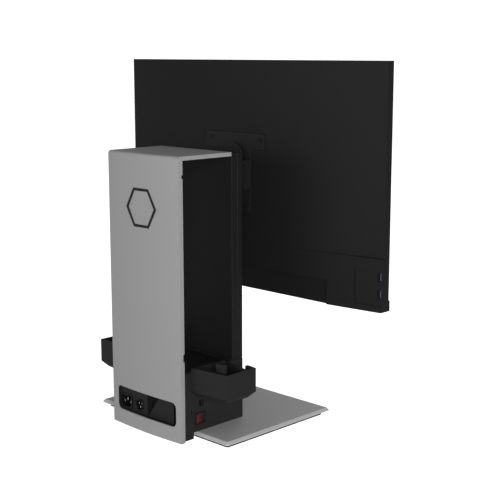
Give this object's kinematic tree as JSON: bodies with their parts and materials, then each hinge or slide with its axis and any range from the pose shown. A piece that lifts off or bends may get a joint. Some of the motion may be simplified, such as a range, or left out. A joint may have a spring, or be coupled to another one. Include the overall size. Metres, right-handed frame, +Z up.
{
  "type": "computer and display stand",
  "caption": "Stand that holds a small desktop computer in an open bay behind a height-adjustable, tilting and turning display.",
  "frame": {"origin": "on the floor, under the middle of the whole object's footprint", "axes": "+Z up, the display faces -Y, the tower's rear cover faces +Y, +X to the right seen from the front"},
  "size_m": [0.518, 0.2419, 0.518],
  "materials": {
    "cover_grey": "satin grey paint",
    "plate_grey": "satin grey paint",
    "badge_dark": "gloss",
    "black_plastic": "fine grain",
    "dark_plastic": "fine grain",
    "display_plastic": "fine grain",
    "connector_black": "moulded",
    "steel": "zinc plated",
    "dark_steel": "black powder coat",
    "bright_pin": "plated",
    "red_plastic": "moulded",
    "rubber_black": "matt",
    "screen_glass": "satin",
    "board_case": "pressed",
    "nylon_white": "moulded",
    "port_blue": "moulded"
  },
  "bodies": {
    "stand": {"base_plate": "plate_grey", "base_pad": "black_plastic", "rubber_feet": "rubber_black", "base_screws": "steel", "lower_housing": "dark_plastic", "bay_floor": "black_plastic", "power_adapter": "dark_plastic", "lock_slot_plate": "dark_steel", "inlet_panel": "dark_plastic", "ac_inlet": "connector_black", "ac_inlet_pins": "bright_pin", "round_inlet": "connector_black", "round_inlet_pins": "bright_pin", "cable_well": "black_plastic", "cable_guard": "dark_plastic", "power_switch_bezel": "connector_black", "column_rear_shell": "black_plastic", "column_front_cover": "black_plastic", "column_frame": "dark_steel", "guide_rails": "steel", "gas_spring_tube": "dark_steel", "gas_spring_foot": "steel", "left_tray": "dark_plastic", "right_tray": "dark_plastic", "tray_screws": "steel", "latch_guide": "dark_plastic", "latch_spring": "steel"},
    "cover": {"rear_cover": "cover_grey", "cover_badge": "badge_dark", "cover_hooks": "steel"},
    "rocker": {"power_rocker": "red_plastic"},
    "latch": {"computer_latch": "dark_plastic"},
    "lift": {"lift_carriage": "steel", "carriage_runners": "nylon_white", "lift_arm": "dark_steel", "carriage_screws": "steel", "gas_spring_rod": "bright_pin"},
    "tilt": {"tilt_bracket": "dark_steel", "tilt_shaft": "steel", "friction_washers": "nylon_white", "tilt_caps": "black_plastic"},
    "turn": {"turn_disc": "dark_steel", "turn_pin": "steel", "mounting_plate": "dark_steel", "mount_screws": "dark_steel", "release_housing": "black_plastic", "display_back_shell": "display_plastic", "side_ports": "dark_steel", "side_port_tongues": "port_blue", "display_port_cover": "display_plastic", "display_bezel": "display_plastic", "screen_module": "screen_glass", "display_electronics": "board_case"},
    "release": {"release_button": "dark_plastic"},
    "button": {"display_button": "dark_plastic"}
  },
  "joints": [
    {"name": "lift_slide", "type": "slide", "parent": "stand", "child": "lift", "axis": [0, 0, 1], "range_m": [-0.1, 0]},
    {"name": "tilt_hinge", "type": "hinge", "parent": "lift", "child": "tilt", "pos_m": [0, -0.034, 0.355], "axis": [-1, 0, 0], "range_deg": [-5, 21]},
    {"name": "turn_hinge", "type": "hinge", "parent": "tilt", "child": "turn", "pos_m": [0, -0.059, 0.355], "axis": [0, 1, 0], "range_deg": [0, 90]},
    {"name": "rocker_hinge", "type": "hinge", "parent": "stand", "child": "rocker", "pos_m": [-0.0675, 0.0824, 0.0305], "axis": [0, 0, 1], "range_deg": [-12, 0]},
    {"name": "latch_slide", "type": "slide", "parent": "stand", "child": "latch", "axis": [0, 0, -1], "range_m": [0, 0.006], "stiffness_N_per_m": 400, "springref_m": -0.004},
    {"name": "release_slide", "type": "slide", "parent": "turn", "child": "release", "axis": [0, 0, 1], "range_m": [0, 0.003], "stiffness_N_per_m": 400, "springref_m": -0.002},
    {"name": "button_slide", "type": "slide", "parent": "turn", "child": "button", "axis": [0, 1, 0], "range_m": [0, 0.0008], "stiffness_N_per_m": 600, "springref_m": -0.0008},
    {"name": "cover_slide", "type": "slide", "parent": "stand", "child": "cover", "axis": [0, 1, 0], "range_m": [0, 0.12]}
  ]
}
